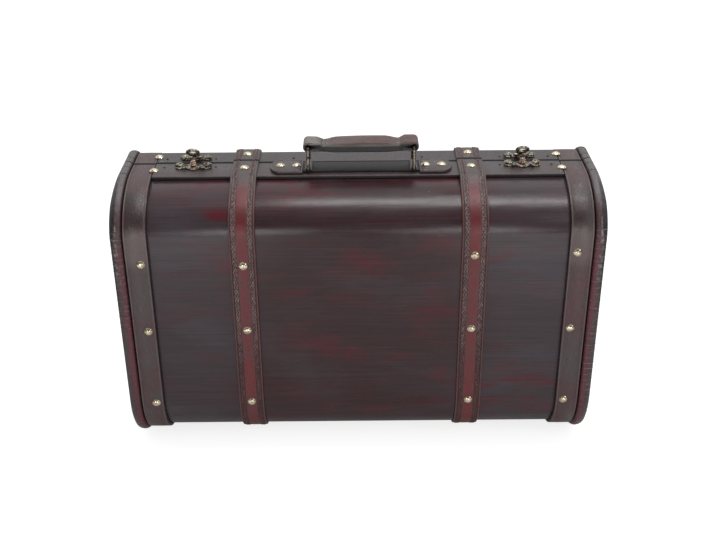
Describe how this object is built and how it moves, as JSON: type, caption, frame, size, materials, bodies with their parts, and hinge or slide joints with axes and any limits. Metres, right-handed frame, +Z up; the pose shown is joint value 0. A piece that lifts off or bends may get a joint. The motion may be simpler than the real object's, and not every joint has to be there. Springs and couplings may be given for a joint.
{
  "type": "suitcase-shaped wooden storage chest",
  "caption": "Upright suitcase-shaped wooden chest in two hinged halves, with laced end edging, nailed straps, a ring-mounted carrying handle and hasp latches.",
  "frame": {"origin": "centre of the footprint of the upright chest", "axes": "+X along the chest, +Y from the base half to the lid half, +Z up to the handle"},
  "size_m": [0.4544, 0.148, 0.3092],
  "materials": {
    "panel": "thin board covered in dark, streaked, semi-gloss sheet",
    "edging": "glossy burgundy edging with pale lacing",
    "band": "semi-gloss grey-brown",
    "strap": "red-brown with stamped stitching",
    "rail": "semi-gloss dark grey-brown",
    "lining": "plain woven lining",
    "nail_brass": "polished pale brass",
    "bronze": "antique bronze",
    "copper": "antique copper highlights",
    "grip_leather": "worn grey-brown",
    "steel": "plain pins"
  },
  "bodies": {
    "base": {"base_shell": "panel", "base_left_end": "panel", "base_right_end": "panel", "base_top_rail": "rail", "base_lining": "lining", "base_left_edge_trim": "edging", "base_left_band": "band", "base_left_strap": "strap", "base_left_hinge_leaf": "bronze", "left_latch_catch": "copper", "left_hinge_pin": "steel", "left_band_nail_top": "nail_brass", "left_band_nail_upper": "nail_brass", "left_band_nail_middle": "nail_brass", "left_band_nail_lower": "nail_brass", "left_strap_nail_top": "nail_brass", "left_strap_nail_upper": "nail_brass", "left_strap_nail_middle": "nail_brass", "left_strap_nail_lower": "nail_brass", "handle_nail_left_inner": "nail_brass", "handle_nail_left_outer": "nail_brass", "base_right_edge_trim": "edging", "base_right_band": "band", "base_right_strap": "strap", "base_right_hinge_leaf": "bronze", "right_latch_catch": "copper", "right_hinge_pin": "steel", "right_band_nail_top": "nail_brass", "right_band_nail_upper": "nail_brass", "right_band_nail_middle": "nail_brass", "right_band_nail_lower": "nail_brass", "right_strap_nail_top": "nail_brass", "right_strap_nail_upper": "nail_brass", "right_strap_nail_middle": "nail_brass", "right_strap_nail_lower": "nail_brass", "handle_nail_right_inner": "nail_brass", "handle_nail_right_outer": "nail_brass", "handle_strip": "rail"},
    "lid": {"lid_shell": "panel", "lid_left_end": "panel", "lid_right_end": "panel", "lid_top_rail": "rail", "lid_lining": "lining", "lid_left_edge_trim": "edging", "lid_left_band": "band", "lid_left_strap": "strap", "lid_left_hinge_leaf": "bronze", "left_latch_plate": "bronze", "left_hasp_pin": "bronze", "lid_right_edge_trim": "edging", "lid_right_band": "band", "lid_right_strap": "strap", "lid_right_hinge_leaf": "bronze", "right_latch_plate": "bronze", "right_hasp_pin": "bronze"},
    "left_ring": {"left_ring": "bronze"},
    "right_ring": {"right_ring": "bronze"},
    "grip": {"handle_grip": "grip_leather"},
    "left_hasp": {"left_hasp": "bronze"},
    "right_hasp": {"right_hasp": "bronze"}
  },
  "joints": [
    {"name": "lid_swing", "type": "hinge", "parent": "base", "child": "lid", "pos_m": [0, 0.011, 0.0034], "axis": [-1, 0, 0], "range_deg": [0, 110]},
    {"name": "left_ring_swing", "type": "hinge", "parent": "base", "child": "left_ring", "pos_m": [-0.0464, -0.004, 0.2825], "axis": [0, 1, 0], "range_deg": [-60, 60]},
    {"name": "right_ring_swing", "type": "hinge", "parent": "base", "child": "right_ring", "pos_m": [0.0524, -0.004, 0.2825], "axis": [0, 1, 0], "range_deg": [-60, 60]},
    {"name": "grip_level", "type": "hinge", "parent": "left_ring", "child": "grip", "pos_m": [-0.0464, -0.004, 0.3048], "axis": [0, 1, 0], "range_deg": [-60, 60]},
    {"name": "left_hasp_flip", "type": "hinge", "parent": "lid", "child": "left_hasp", "pos_m": [-0.156, 0.0155, 0.2845], "axis": [-1, 0, 0], "range_deg": [-40, 110]},
    {"name": "right_hasp_flip", "type": "hinge", "parent": "lid", "child": "right_hasp", "pos_m": [0.156, 0.0155, 0.2845], "axis": [-1, 0, 0], "range_deg": [-40, 110]}
  ],
  "couplings": [
    {"joint": "right_ring_swing", "follows": "left_ring_swing", "ratio": 1},
    {"joint": "grip_level", "follows": "left_ring_swing", "ratio": -1}
  ]
}
